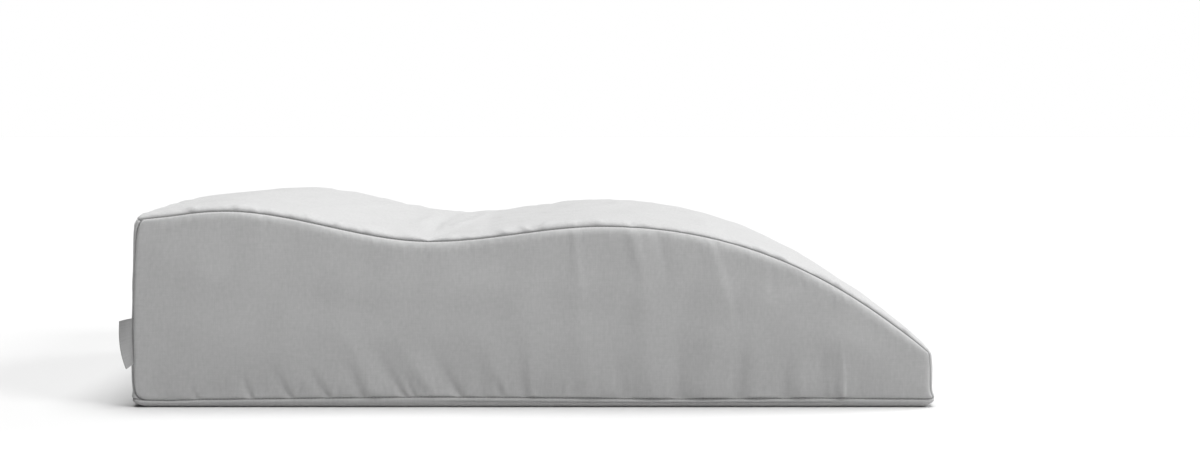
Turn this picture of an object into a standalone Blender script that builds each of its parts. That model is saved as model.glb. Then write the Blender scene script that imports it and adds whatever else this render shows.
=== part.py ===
"""Leg elevation pillow: a contoured foam block in a sewn cloth cover, with a label caught in one seam.

+X runs from the heel end to the knee end, +Y from the front side to the back side, and +Z up.
The origin is the middle of the flat underside. All sizes are in metres.
"""

import math

import bpy
import numpy as np

LENGTH = 0.720
WIDTH = 0.450

# The line of the top from the heel end to the nose, before the edges are rounded and the top is crowned.
TOP_LINE = (
    # station, distance from the heel end, height, slope
    ("heel edge", 0.000, 0.1750, 0.140),
    ("heel crest", 0.080, 0.1825, 0.000),
    ("calf hollow", 0.266, 0.1551, 0.000),
    ("knee crest", 0.421, 0.1686, 0.000),
    ("thigh slope", 0.700, 0.0684, -0.800),
    ("nose edge", 0.720, 0.0512, -0.900),
)

LOWER_SEAM_HEIGHT = 0.008
SEAM_DEPTH = 0.0012

# How round the foam's edges are under the cover.
SIDE_EDGE_RADIUS = 0.012
HEEL_EDGE_RADIUS = 0.0055
NOSE_EDGE_RADIUS = 0.009
END_REACH = 0.040
LOWER_EDGE_RADIUS = 0.006
LOWER_EDGE_REACH = 0.016

# How far the cover stands out between its seams.
TOP_CROWN = 0.0045
TOP_CROWN_POWER = 2.5
SIDE_CROWN = 0.0030
END_CROWN = 0.0030
CROWN_REACH = 0.060
HEEL_BOW = 0.0093
HEEL_LEAN = 0.70
NOSE_BOW = 0.0022
HEEL_HEM = 0.0018
NOSE_HEM = 0.0026
HEM_HALF_HEIGHT = 0.0045
CORNER_DROP = 0.0025
CORNER_DROP_LENGTH = 0.040
CORNER_DROP_WIDTH = 0.008

# Soft folds of the front side. Foot and head are distances from the heel end, and the shares are of the
# height there. A positive rise stands out of the side and a negative one is a trough.
FRONT_FOLDS = (
    # foot, head, low share, high share, half width, rise
    (0.104, 0.094, 0.00, 0.18, 0.009, -0.0016),
    (0.139, 0.126, 0.00, 0.22, 0.009, -0.0018),
    (0.171, 0.160, 0.00, 0.20, 0.009, -0.0017),
    (0.205, 0.189, 0.00, 0.27, 0.010, -0.0018),
    (0.242, 0.218, 0.00, 0.34, 0.010, -0.0019),
    (0.292, 0.270, 0.00, 0.36, 0.011, -0.0019),
    (0.353, 0.344, 0.00, 0.40, 0.012, -0.0016),
    (0.419, 0.399, 0.00, 1.00, 0.012, 0.0012),
    (0.446, 0.438, 0.00, 1.00, 0.012, -0.0013),
    (0.475, 0.454, 0.10, 1.00, 0.012, 0.0012),
    (0.497, 0.478, 0.00, 1.00, 0.014, -0.0013),
    (0.530, 0.536, 0.00, 1.00, 0.012, 0.0013),
    (0.550, 0.556, 0.00, 0.70, 0.012, -0.0013),
    (0.592, 0.596, 0.00, 0.45, 0.010, -0.0010),
    (0.644, 0.644, 0.00, 0.60, 0.009, 0.0016),
)
BACK_FOLDS = (
    # foot, head, low share, high share, half width, rise
    (0.120, 0.132, 0.00, 0.28, 0.010, -0.0012),
    (0.196, 0.210, 0.00, 0.34, 0.010, -0.0013),
    (0.268, 0.276, 0.00, 0.42, 0.012, -0.0012),
    (0.330, 0.322, 0.00, 1.00, 0.014, 0.0011),
    (0.402, 0.396, 0.00, 1.00, 0.014, -0.0012),
    (0.476, 0.484, 0.00, 1.00, 0.013, 0.0011),
    (0.548, 0.540, 0.00, 0.80, 0.013, -0.0012),
    (0.618, 0.622, 0.00, 0.60, 0.010, 0.0011),
)
FOLD_FADE = 0.30
FOLD_START = 0.60

# Lines of the lattice whose outer shell is the pillow, close together near the edges.
LINES_FROM_END = (0.0, 0.002, 0.0045, 0.008, 0.013, 0.020, 0.030)
MIDDLE_COLUMNS = 62
LINES_FROM_SIDE = (0.0, 0.0025, 0.006, 0.011, 0.018, 0.036)
MIDDLE_WIDTHS = 8
LINES_FROM_BOTTOM = (0.0, 0.0025, 0.0055, LOWER_SEAM_HEIGHT, 0.0105, 0.014, 0.021)
LINES_FROM_TOP = (0.014, 0.009, 0.005, 0.0025, 0.0)
MIDDLE_ROWS = 6

# The label is a ribbon folded in half, its ends caught in the upright seam of the heel end.
LABEL_FOOT = 0.0412
LABEL_HEIGHT = 0.0412
LABEL_REACH = 0.0112
LABEL_THICKNESS = 0.0012
LABEL_ROOT_DEPTH = 0.0003
LABEL_TURN_AT_FOOT = math.radians(-75)
LABEL_TURN_AT_HEAD = math.radians(-8)
LABEL_TWIST_POWER = 1.25
LABEL_DROOP_AT_FOOT = 0.0040
LABEL_DROOP_AT_HEAD = 0.0025
LABEL_CURL = 0.0008
LABEL_COLUMNS = 7
LABEL_ROWS = 14

SHARP_ANGLE = math.radians(40)

CLOTH_GREY = (0.43, 0.43, 0.43, 1.0)
RIBBON_GREY = (0.26, 0.26, 0.26, 1.0)


def clear_scene():
    for obj in list(bpy.data.objects):
        bpy.data.objects.remove(obj)


def smooth(share):
    """0 below a share of 0, 1 above a share of 1, and an S curve between."""
    share = np.clip(share, 0.0, 1.0)
    return share * share * (3.0 - 2.0 * share)


def top_line(s):
    """Height and slope of the top at distance s from the heel end: cubic curves between TOP_LINE's rows."""
    stations, heights, slopes = (np.array([row[column] for row in TOP_LINE]) for column in (1, 2, 3))
    span = np.clip(np.searchsorted(stations, s, side="right") - 1, 0, len(stations) - 2)
    length = stations[span + 1] - stations[span]
    t = (s - stations[span]) / length
    rise = heights[span + 1] - heights[span]
    start, end = slopes[span] * length, slopes[span + 1] * length
    square, cube = 3.0 * rise - 2.0 * start - end, start + end - 2.0 * rise
    height = heights[span] + start * t + square * t**2 + cube * t**3
    slope = (start + 2.0 * square * t + 3.0 * cube * t**2) / length
    return height, slope


def end_gap(s):
    return np.minimum(s, LENGTH - s)


def side_gap(y):
    return WIDTH / 2 - np.abs(y)


def edge_radius(s, z):
    """Radius of the rounded edges: wide along the upper sides, small at the ends and along the floor."""
    end_radius = np.where(s < LENGTH / 2, HEEL_EDGE_RADIUS, NOSE_EDGE_RADIUS)
    upper = end_radius + (SIDE_EDGE_RADIUS - end_radius) * smooth(end_gap(s) / END_REACH)
    height = smooth((z - LOWER_SEAM_HEIGHT) / LOWER_EDGE_REACH)
    return LOWER_EDGE_RADIUS + (upper - LOWER_EDGE_RADIUS) * height


def rounded(s, y, z):
    """Points of the sharp-edged block slid onto arcs of edge_radius, as (x, y, z) columns.

    How far a point lies past the arc's centre is split into an end, a top, a side and an underside share.
    The end and the top may meet at any angle, whose cosine is slant.
    """
    top, slope = top_line(s)
    lean = 1.0 / np.hypot(1.0, slope)
    radius = edge_radius(s, z)
    end_side = np.where(s < LENGTH / 2, -1.0, 1.0)
    slant = -end_side * slope * lean
    past_end = radius - end_gap(s)
    past_top = radius - (top - z) * lean
    past_side = np.maximum(radius - side_gap(y), 0.0)
    past_bottom = np.maximum(radius - z, 0.0)
    of_end = (past_end - slant * past_top) / (1.0 - slant**2)
    of_top = (past_top - slant * past_end) / (1.0 - slant**2)
    end_share = np.maximum(np.where(of_top > 0.0, of_end, past_end), 0.0)
    top_share = np.maximum(np.where(of_end > 0.0, of_top, past_top), 0.0)
    away = np.array(
        [
            end_side * end_share - slope * lean * top_share,
            np.sign(y) * past_side,
            lean * top_share - past_bottom,
        ]
    )
    distance = np.linalg.norm(away, axis=0).clip(1e-9)
    pull = np.maximum(1.0 - radius / distance, 0.0)
    return (np.array([s - LENGTH / 2, y, z]) - away * pull).T


def crowned(points, s, y, z):
    """The cover swelling between its seams.

    The heel leans out at its foot and its upper corners are drawn down. Both ends stand out along the lower
    seam.
    """
    top, _ = top_line(s)
    up = np.clip(z / top, 0.0, 1.0)
    across = 1.0 - np.abs(2.0 * y / WIDTH) ** TOP_CROWN_POWER
    between = smooth((z - LOWER_SEAM_HEIGHT) / CROWN_REACH) * smooth((top - z) / CROWN_REACH)
    arch = np.sin(math.pi * up)
    heel_bow = HEEL_BOW * (1.0 - HEEL_LEAN * up) * arch**0.25
    hem = np.exp(-(((z - LOWER_SEAM_HEIGHT) / HEM_HALF_HEIGHT) ** 2)) * smooth(z / HEM_HALF_HEIGHT)
    bowed_out = np.where(s < LENGTH / 2, -heel_bow - HEEL_HEM * hem, NOSE_BOW * arch**0.5 + NOSE_HEM * hem)
    near_end = 1.0 - smooth(end_gap(s) / CROWN_REACH)
    end_side = np.where(s < LENGTH / 2, -1.0, 1.0)
    drop = CORNER_DROP * np.exp(-((s / CORNER_DROP_LENGTH) ** 2) - (side_gap(y) / CORNER_DROP_WIDTH) ** 2)
    end_share = np.where((s == 0.0) | (s == LENGTH), 1.0, 0.0)
    side_share = np.where(np.abs(y) == WIDTH / 2, 1.0, 0.0)
    moved = points.copy()
    moved[:, 0] += bowed_out * near_end
    moved[:, 0] += end_side * END_CROWN * end_share * between * smooth(side_gap(y) / CROWN_REACH)
    moved[:, 1] += np.sign(y) * SIDE_CROWN * side_share * between * smooth(end_gap(s) / CROWN_REACH)
    moved[:, 2] += (TOP_CROWN * across - drop) * up
    return moved


def folded(points, s, y, z):
    """Soft folds of the two sides: rounded troughs and ridges along leaning lines, faded at their ends.

    FOLD_FADE is the share of the height in which a fold fades, and FOLD_START what is left of it at its foot.
    """
    top, _ = top_line(s)
    share = z / top
    moved = points.copy()
    for side, folds in ((-1.0, FRONT_FOLDS), (1.0, BACK_FOLDS)):
        on_side = (y == side * WIDTH / 2) & (z > LOWER_SEAM_HEIGHT)
        for foot, head, low, high, half_width, rise in folds:
            middle = foot + (head - foot) * (share - low) / (high - low)
            along = smooth((high - share) / FOLD_FADE) * smooth((share - low) / FOLD_FADE + FOLD_START)
            across = np.exp(-(((s - middle) / half_width) ** 2))
            clear_of_seam = smooth((top - z) / SIDE_EDGE_RADIUS)
            moved[:, 1] += side * on_side * rise * along * across * clear_of_seam
    return moved


def quads(sheet, turned):
    """Faces of a grid of point numbers, facing along first axis cross second, or the other way if turned."""
    corners = (sheet[:-1, :-1], sheet[1:, :-1], sheet[1:, 1:], sheet[:-1, 1:])
    faces = np.stack([corner.ravel() for corner in corners], axis=1)
    return faces[:, ::-1] if turned else faces


def lines_between(margin, count, length):
    """Lines from 0 to length: those of the margin at both ends, and count even spaces between them."""
    near = np.array(margin)
    middle = np.linspace(near[-1], length - near[-1], count + 1)
    return np.concatenate([near[:-1], middle, length - near[-2::-1]])


def lattice_shell():
    """The outer shell of a lattice of lines: its points as (s, y, z) on the sharp block, and its quads."""
    columns = lines_between(LINES_FROM_END, MIDDLE_COLUMNS, LENGTH)
    widths = lines_between(LINES_FROM_SIDE, MIDDLE_WIDTHS, WIDTH)
    tops, _ = top_line(columns)
    low, high = LINES_FROM_BOTTOM[-1], tops - LINES_FROM_TOP[0]
    shares = np.arange(1, MIDDLE_ROWS) / MIDDLE_ROWS
    rows = np.concatenate(
        [
            np.repeat([LINES_FROM_BOTTOM], len(columns), axis=0),
            low + (high - low)[:, None] * shares,
            tops[:, None] - np.array(LINES_FROM_TOP),
        ],
        axis=1,
    )
    counts = len(columns), len(widths), rows.shape[1]
    i, j, k = np.indices(counts)
    outer = (i % (counts[0] - 1) == 0) | (j % (counts[1] - 1) == 0) | (k % (counts[2] - 1) == 0)
    index = np.full(counts, -1)
    index[outer] = np.arange(outer.sum())
    s = columns[i[outer]]
    y = (widths - WIDTH / 2)[j[outer]]
    z = rows[i[outer], k[outer]]

    faces = np.concatenate(
        [
            quads(index[:, :, 0], True),
            quads(index[:, :, -1], False),
            quads(index[:, 0, :], False),
            quads(index[:, -1, :], True),
            quads(index[0], True),
            quads(index[-1], False),
        ]
    )
    return s, y, z, faces


def on_seam(s, y, z):
    """Whether a point of the block is on a seam: a side panel's outline, the heel's top or the lower seam."""
    top, _ = top_line(s)
    beside, at_end, at_heel, at_top = np.abs(y) == WIDTH / 2, end_gap(s) == 0.0, s == 0.0, z == top
    above = z >= LOWER_SEAM_HEIGHT
    side_outline = beside & above & (at_top | at_end)
    lower_seam = (z == LOWER_SEAM_HEIGHT) & (beside | at_end)
    return side_outline | lower_seam | (at_heel & at_top)


def outward_normals(points, faces):
    """The area-weighted normal at each point, from the diagonals of the quads around it."""
    a, b, c, d = (points[faces[:, corner]] for corner in range(4))
    area = np.cross(c - a, d - b)
    normals = np.zeros_like(points)
    for corner in range(4):
        np.add.at(normals, faces[:, corner], area)
    return normals / np.linalg.norm(normals, axis=1)[:, None]


def surface(s, y, z):
    """The cover's surface before its seams are drawn in."""
    return folded(crowned(rounded(s, y, z), s, y, z), s, y, z)


def make_material(name, colour, roughness):
    material = bpy.data.materials.new(name)
    material.use_nodes = True
    shader = material.node_tree.nodes["Principled BSDF"]
    shader.inputs["Base Color"].default_value = colour
    shader.inputs["Roughness"].default_value = roughness
    shader.inputs["Metallic"].default_value = 0.0
    return material


def make_object(name, points, faces, material):
    mesh = bpy.data.meshes.new(name)
    mesh.from_pydata(points.tolist(), [], faces.tolist())
    mesh.materials.append(material)
    mesh.shade_smooth()
    mesh.set_sharp_from_angle(angle=SHARP_ANGLE)
    obj = bpy.data.objects.new(name, mesh)
    bpy.context.scene.collection.objects.link(obj)
    return obj


def make_cushion():
    """The filled cover, one closed form: its panels meet at seams that are drawn in between them."""
    s, y, z, faces = lattice_shell()
    points = surface(s, y, z)
    normals = outward_normals(points, faces)
    points -= SEAM_DEPTH * on_seam(s, y, z)[:, None] * normals
    material = make_material("cover_cloth", CLOTH_GREY, 0.9)
    return make_object("cushion", points, faces, material)


def label_centre():
    """Middle surface of the label, as a grid of points: out from the seam first, then up along it."""
    out, up = np.meshgrid(
        np.linspace(0.0, 1.0, LABEL_COLUMNS + 1), np.linspace(0.0, 1.0, LABEL_ROWS + 1), indexing="ij"
    )
    height = LABEL_FOOT + LABEL_HEIGHT * up
    root = surface(np.zeros(up.size), np.full(up.size, -WIDTH / 2), height.ravel()).reshape(*up.shape, 3)
    turn = LABEL_TURN_AT_HEAD + (LABEL_TURN_AT_FOOT - LABEL_TURN_AT_HEAD) * (1.0 - up) ** LABEL_TWIST_POWER
    droop = LABEL_DROOP_AT_FOOT + (LABEL_DROOP_AT_HEAD - LABEL_DROOP_AT_FOOT) * up
    reach = LABEL_REACH * out
    curl = LABEL_CURL * np.sin(math.pi * out)
    seam_way = math.sqrt(0.5)
    centre = root.copy()
    centre[..., 0] += seam_way * LABEL_ROOT_DEPTH - reach * np.cos(turn) - curl * np.sin(turn)
    centre[..., 1] += seam_way * LABEL_ROOT_DEPTH + reach * np.sin(turn) - curl * np.cos(turn)
    centre[..., 2] -= droop * out**1.5
    return centre


def make_label():
    """The folded ribbon as one sheet, thin at its folded outer edge."""
    centre = label_centre()
    along, upward = np.gradient(centre, axis=0), np.gradient(centre, axis=1)
    normal = np.cross(along, upward)
    normal /= np.linalg.norm(normal, axis=2)[..., None]
    half = np.full(LABEL_COLUMNS + 1, LABEL_THICKNESS / 2)
    half[-1] *= 0.5
    offset = normal * half[:, None, None]
    both = np.stack([centre - offset, centre + offset])
    count = both.shape[1] * both.shape[2]
    index = np.arange(2 * count).reshape(both.shape[:3])
    faces = np.concatenate(
        [
            quads(index[0], True),
            quads(index[1], False),
            quads(index[:, 0, :], False),
            quads(index[:, -1, :], True),
            quads(index[:, :, 0], True),
            quads(index[:, :, -1], False),
        ]
    )
    material = make_material("label_ribbon", RIBBON_GREY, 0.8)
    return make_object("side_label", both.reshape(-1, 3), faces, material)


def main():
    clear_scene()
    make_cushion()
    make_label()


main()
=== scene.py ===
import math

import bpy
import numpy as np
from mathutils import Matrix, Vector


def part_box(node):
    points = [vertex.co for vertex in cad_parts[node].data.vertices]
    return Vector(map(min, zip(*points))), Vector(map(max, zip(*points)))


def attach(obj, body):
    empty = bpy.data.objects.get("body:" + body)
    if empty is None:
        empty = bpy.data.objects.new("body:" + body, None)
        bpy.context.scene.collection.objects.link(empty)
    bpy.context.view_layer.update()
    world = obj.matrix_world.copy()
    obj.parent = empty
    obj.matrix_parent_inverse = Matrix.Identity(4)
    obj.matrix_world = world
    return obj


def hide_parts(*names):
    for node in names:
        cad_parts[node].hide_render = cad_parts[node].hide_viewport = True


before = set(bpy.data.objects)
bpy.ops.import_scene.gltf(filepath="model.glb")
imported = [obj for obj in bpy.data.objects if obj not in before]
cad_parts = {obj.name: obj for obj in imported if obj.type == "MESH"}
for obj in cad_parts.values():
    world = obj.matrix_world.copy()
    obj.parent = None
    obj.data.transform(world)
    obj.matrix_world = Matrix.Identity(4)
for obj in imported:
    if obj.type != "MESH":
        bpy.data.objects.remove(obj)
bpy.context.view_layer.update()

# The foam block.
# One piece of foam cut to a contour: a high heel end, a calf hollow, a knee crest and a long slope down to a
# low nose. It doesn't show, but the cover is pulled over it, so it gives the cover its form and round edges.

block_low, block_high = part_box("cushion")
HEEL_BULGE = 0.0097
NOSE_BULGE = 0.0036
SIDE_BULGE = 0.0041
HEEL_X = block_low.x + HEEL_BULGE
LENGTH = block_high.x - NOSE_BULGE - HEEL_X
WIDTH = block_high.y - block_low.y - 2 * SIDE_BULGE

# The line of the top at the seams, before the edges are rounded.
TOP_LINE = (
    # station, distance from the heel end, height, slope
    ("heel edge", 0.000, 0.1750, 0.140),
    ("heel crest", 0.080, 0.1825, 0.000),
    ("calf hollow", 0.266, 0.1551, 0.000),
    ("knee crest", 0.421, 0.1686, 0.000),
    ("thigh slope", 0.700, 0.0684, -0.800),
    ("nose edge", 0.720, 0.0512, -0.900),
)
LOWER_SEAM = 0.008
SIDE_EDGE_RADIUS = 0.012
HEEL_EDGE_RADIUS = 0.0055
NOSE_EDGE_RADIUS = 0.009
END_REACH = 0.040
LOWER_EDGE_RADIUS = 0.006
LOWER_EDGE_REACH = 0.016


def smooth(share):
    """An S curve, 3t^2 - 2t^3, that is 0 below a share of 0 and 1 above a share of 1."""
    share = np.clip(share, 0.0, 1.0)
    return share * share * (3.0 - 2.0 * share)


def top_line(s):
    """Height and slope of the top at distance s from the heel end.

    Between two rows of TOP_LINE it is the cubic that has both rows' heights and slopes.
    """
    stations, heights, slopes = (np.array([row[column] for row in TOP_LINE]) for column in (1, 2, 3))
    span = np.clip(np.searchsorted(stations, s, side="right") - 1, 0, len(stations) - 2)
    length = stations[span + 1] - stations[span]
    t = (s - stations[span]) / length
    rise = heights[span + 1] - heights[span]
    start, end = slopes[span] * length, slopes[span + 1] * length
    square, cube = 3.0 * rise - 2.0 * start - end, start + end - 2.0 * rise
    height = heights[span] + start * t + square * t**2 + cube * t**3
    slope = (start + 2.0 * square * t + 3.0 * cube * t**2) / length
    return height, slope


def edge_radius(s, z):
    """Radius of the rounded edges: one value along the upper sides, one at each end and one along the floor.

    The values turn into each other by the S curve.
    """
    end_radius = np.where(s < LENGTH / 2, HEEL_EDGE_RADIUS, NOSE_EDGE_RADIUS)
    upper = end_radius + (SIDE_EDGE_RADIUS - end_radius) * smooth(np.minimum(s, LENGTH - s) / END_REACH)
    return LOWER_EDGE_RADIUS + (upper - LOWER_EDGE_RADIUS) * smooth((z - LOWER_SEAM) / LOWER_EDGE_REACH)


def rounded(s, y, z):
    """Points of the sharp block slid onto arcs of edge_radius.

    Past the centre of an arc, a point's offset from that centre is cut to the radius. The offset is split
    into end, top, side and underside shares. The end and the top meet at any angle, whose cosine is slant.
    """
    top, slope = top_line(s)
    lean = 1.0 / np.hypot(1.0, slope)
    radius = edge_radius(s, z)
    end_side = np.where(s < LENGTH / 2, -1.0, 1.0)
    slant = -end_side * slope * lean
    past_end = radius - np.minimum(s, LENGTH - s)
    past_top = radius - (top - z) * lean
    past_side = np.maximum(radius - (WIDTH / 2 - np.abs(y)), 0.0)
    past_bottom = np.maximum(radius - z, 0.0)
    of_end = (past_end - slant * past_top) / (1.0 - slant**2)
    of_top = (past_top - slant * past_end) / (1.0 - slant**2)
    end_share = np.maximum(np.where(of_top > 0.0, of_end, past_end), 0.0)
    top_share = np.maximum(np.where(of_end > 0.0, of_top, past_top), 0.0)
    away = np.array(
        [
            end_side * end_share - slope * lean * top_share,
            np.sign(y) * past_side,
            lean * top_share - past_bottom,
        ]
    )
    distance = np.linalg.norm(away, axis=0).clip(1e-9)
    pull = np.maximum(1.0 - radius / distance, 0.0)
    return (np.array([HEEL_X + s, y, z]) - away * pull).T


# The sewn cover.
# Cotton panels pulled over the foam: a profile-shaped panel on each side, one long strip over the top and
# down the nose, a panel on the heel end, and a bottom panel that wraps a little way up. Each stands out
# between its seams, and the sides hang in soft waves with short puckers that rise from the lower seam.

TOP_CROWN = 0.0045
TOP_CROWN_POWER = 2.5
SIDE_CROWN = 0.0030
END_CROWN = 0.0030
CROWN_REACH = 0.060
HEEL_BOW = 0.0093
HEEL_BOW_POWER = 0.25
HEEL_LEAN = 0.70
NOSE_BOW = 0.0022
NOSE_BOW_POWER = 0.5
HEEL_HEM = 0.0018
NOSE_HEM = 0.0026
HEM_HALF = 0.0045
CORNER_DROP = 0.0025
CORNER_DROP_LENGTH = 0.040
CORNER_DROP_WIDTH = 0.008


def crowned(points, s, y, z):
    """The cover swelling between its seams.

    The top rises by one less a power of the share of the half width. The sides and the ends stand out by the
    S curve of the distance to each seam, and the ends bow by roots of a half sine of the height, the heel's
    leaning out at its foot. The ends stand out along the lower seam and the upper heel corners drop, both by
    exp(-d^2).
    """
    top, _ = top_line(s)
    end_gap, side_gap = np.minimum(s, LENGTH - s), WIDTH / 2 - np.abs(y)
    up = np.clip(z / top, 0.0, 1.0)
    across = 1.0 - np.abs(2.0 * y / WIDTH) ** TOP_CROWN_POWER
    between = smooth((z - LOWER_SEAM) / CROWN_REACH) * smooth((top - z) / CROWN_REACH)
    arch = np.sin(math.pi * up)
    heel_bow = HEEL_BOW * (1.0 - HEEL_LEAN * up) * arch**HEEL_BOW_POWER
    nose_bow = NOSE_BOW * arch**NOSE_BOW_POWER
    hem = np.exp(-(((z - LOWER_SEAM) / HEM_HALF) ** 2)) * smooth(z / HEM_HALF)
    bowed_out = np.where(s < LENGTH / 2, -heel_bow - HEEL_HEM * hem, nose_bow + NOSE_HEM * hem)
    end_side = np.where(s < LENGTH / 2, -1.0, 1.0) * (end_gap == 0.0)
    beside = np.sign(y) * (side_gap == 0.0)
    drop = CORNER_DROP * np.exp(-((s / CORNER_DROP_LENGTH) ** 2) - (side_gap / CORNER_DROP_WIDTH) ** 2)
    moved = points.copy()
    moved[:, 0] += bowed_out * (1.0 - smooth(end_gap / CROWN_REACH))
    moved[:, 0] += end_side * END_CROWN * between * smooth(side_gap / CROWN_REACH)
    moved[:, 1] += beside * SIDE_CROWN * between * smooth(end_gap / CROWN_REACH)
    moved[:, 2] += (TOP_CROWN * across - drop) * up
    return moved


# Folds of a panel, in millimetres. Along is the distance from the heel end, or on the heel panel from its
# front edge, and up is the height, or on the top panel the distance in from the front seam. A positive rise
# stands out of the panel and a negative one is a trough. Bend swings the fold's middle sideways, and spread
# is how much wider the fold is on the side where along is less.
FRONT_FOLDS = (
    # along at foot, up at foot, along at head, up at head, bend, half width at foot, at head,
    # rise at foot, at head, spread
    (54, 7, 49, 20, 0, 1.8, 3.0, -1.3, -0.3, 1.8),
    (103, 7, 96, 26, 0, 1.8, 3.4, -1.8, -0.4, 2.0),
    (140, 7, 125, 32, -1, 2.2, 4.0, -1.3, -0.4, 2.0),
    (174, 7, 158, 33, -1, 2.2, 4.0, -1.2, -0.4, 2.0),
    (205, 7, 192, 38, -1, 2.6, 5.0, -1.1, -0.4, 2.0),
    (243, 7, 219, 50, -1, 2.6, 6.0, -1.5, -0.4, 2.0),
    (251, 8, 243, 26, 0, 1.9, 3.0, -1.0, -0.2, 1.5),
    (293, 8, 268, 52, -1, 2.8, 6.5, -1.4, -0.4, 2.0),
    (312, 10, 309, 48, 0, 4.0, 7.0, -0.7, -0.3, 1.5),
    (330, 8, 325, 26, 0, 2.6, 3.8, -0.8, -0.1, 1.4),
    (351, 7, 348, 50, 0, 3.8, 7.0, -1.1, -0.4, 1.5),
    (213, 14, 194, 60, -1, 6.0, 12.0, 0.8, 0.3, 1.0),
    (264, 18, 237, 64, -2, 6.0, 12.0, 0.9, 0.3, 1.0),
    (330, 20, 314, 60, 0, 5.0, 10.0, 0.7, 0.3, 1.0),
    (356, 12, 352, 78, 0, 6.0, 9.0, 0.8, 0.3, 1.0),
    (409, 12, 398, 96, -2, 10.0, 8.0, 0.8, 0.4, 1.0),
    (402, 104, 396, 158, -1, 4.0, 3.0, 0.3, 0.8, 1.2),
    (440, 14, 426, 66, 0, 8.0, 9.0, -0.9, -0.4, 1.2),
    (451, 118, 441, 160, 0, 4.5, 4.0, -0.4, -0.9, 1.5),
    (465, 12, 457, 92, -2, 11.0, 10.0, 0.9, 0.6, 1.0),
    (460, 96, 444, 160, 3, 9.0, 6.0, 0.7, 1.0, 1.3),
    (480, 118, 472, 158, 0, 5.0, 4.5, -0.4, -0.9, 1.3),
    (491, 8, 489, 64, 0, 6.5, 8.0, -1.2, -0.5, 1.2),
    (516, 8, 521, 82, 0, 12.0, 10.0, 1.0, 0.5, 1.0),
    (537, 82, 517, 152, 2, 4.0, 4.0, 0.5, 1.1, 2.4),
    (544, 8, 547, 56, 0, 6.0, 7.0, -1.1, -0.5, 1.2),
    (576, 104, 572, 134, 0, 4.0, 4.0, -0.3, -0.5, 1.0),
    (562, 8, 558, 70, 0, 11.0, 13.0, 0.8, 0.4, 1.0),
    (587, 8, 586, 44, 0, 5.0, 6.0, -0.9, -0.3, 1.2),
    (601, 8, 600, 46, 0, 7.0, 8.0, 0.7, 0.3, 1.0),
    (622, 8, 619, 46, 0, 5.0, 6.0, -0.7, -0.3, 1.0),
    (640, 5, 638, 46, 0.5, 1.8, 2.6, 1.4, 0.6, 2.2),
    (655, 8, 656, 40, 0, 6.0, 7.0, -0.6, -0.2, 1.0),
)
BACK_FOLDS = (
    # along at foot, up at foot, along at head, up at head, bend, half width at foot, at head,
    # rise at foot, at head, spread
    (88, 7, 94, 26, 0, 2.2, 3.6, -1.5, -0.3, 0.5),
    (133, 7, 143, 36, -1, 2.2, 4.4, -1.7, -0.4, 0.5),
    (180, 7, 194, 42, -1, 2.4, 5.0, -1.7, -0.4, 0.5),
    (211, 7, 216, 28, 0, 1.8, 3.0, -1.3, -0.2, 0.7),
    (262, 8, 278, 52, -1, 2.8, 6.0, -1.7, -0.4, 0.6),
    (238, 18, 262, 74, -2, 7.0, 12.0, 1.2, 0.5, 1.0),
    (334, 10, 322, 150, 4, 10.0, 8.0, 1.1, 0.9, 1.0),
    (371, 8, 360, 150, 5, 10.0, 7.0, -1.4, -1.0, 1.0),
    (404, 9, 402, 150, -4, 8.0, 7.0, 1.0, 1.0, 1.0),
    (452, 8, 446, 152, -6, 12.0, 7.0, -1.4, -1.0, 1.0),
    (486, 8, 492, 146, 4, 7.0, 6.0, 1.1, 0.9, 1.0),
    (530, 8, 523, 120, 2, 7.0, 9.0, -1.4, -0.6, 1.0),
    (571, 8, 568, 66, 0, 6.0, 8.0, 1.0, 0.4, 1.0),
    (604, 7, 603, 52, 0, 4.5, 6.0, -1.3, -0.3, 1.0),
    (655, 7, 652, 40, 0, 2.6, 3.6, 1.5, 0.4, 0.6),
)
TOP_FOLDS = (
    # along at foot, up at foot, along at head, up at head, bend, half width at foot, at head,
    # rise at foot, at head, spread
    (196, 4, 212, 46, 2, 4.0, 8.0, 0.5, 0.2, 1.0),
    (254, 4, 236, 60, -3, 7.0, 9.0, 1.2, 0.4, 1.6),
    (262, 5, 272, 54, 0, 5.0, 9.0, -0.7, -0.3, 1.0),
    (280, 4, 292, 40, 1, 4.0, 7.0, 0.6, 0.2, 1.0),
    (232, 404, 240, 446, 2, 6.0, 5.0, 0.4, 0.9, 1.0),
    (276, 396, 262, 446, -2, 8.0, 6.0, -0.3, -0.8, 1.0),
    (58, 70, 74, 190, 6, 12.0, 16.0, 0.6, 0.3, 1.0),
    (150, 110, 176, 320, 10, 12.0, 16.0, 0.7, 0.5, 1.0),
    (243, 130, 233, 350, 5, 6.0, 8.0, 1.0, 0.9, 1.0),
    (262, 90, 266, 360, -5, 6.0, 9.0, -1.7, -1.3, 1.0),
    (282, 120, 292, 340, 8, 6.0, 8.0, 1.2, 0.9, 1.0),
    (312, 60, 303, 240, 4, 8.0, 10.0, -1.0, -0.7, 1.0),
    (438, 240, 452, 400, -6, 11.0, 10.0, 1.1, 0.8, 1.0),
    (520, 80, 502, 290, 8, 11.0, 13.0, 1.1, 0.7, 1.0),
    (606, 170, 618, 380, -7, 10.0, 12.0, -1.2, -0.8, 1.0),
)
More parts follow.
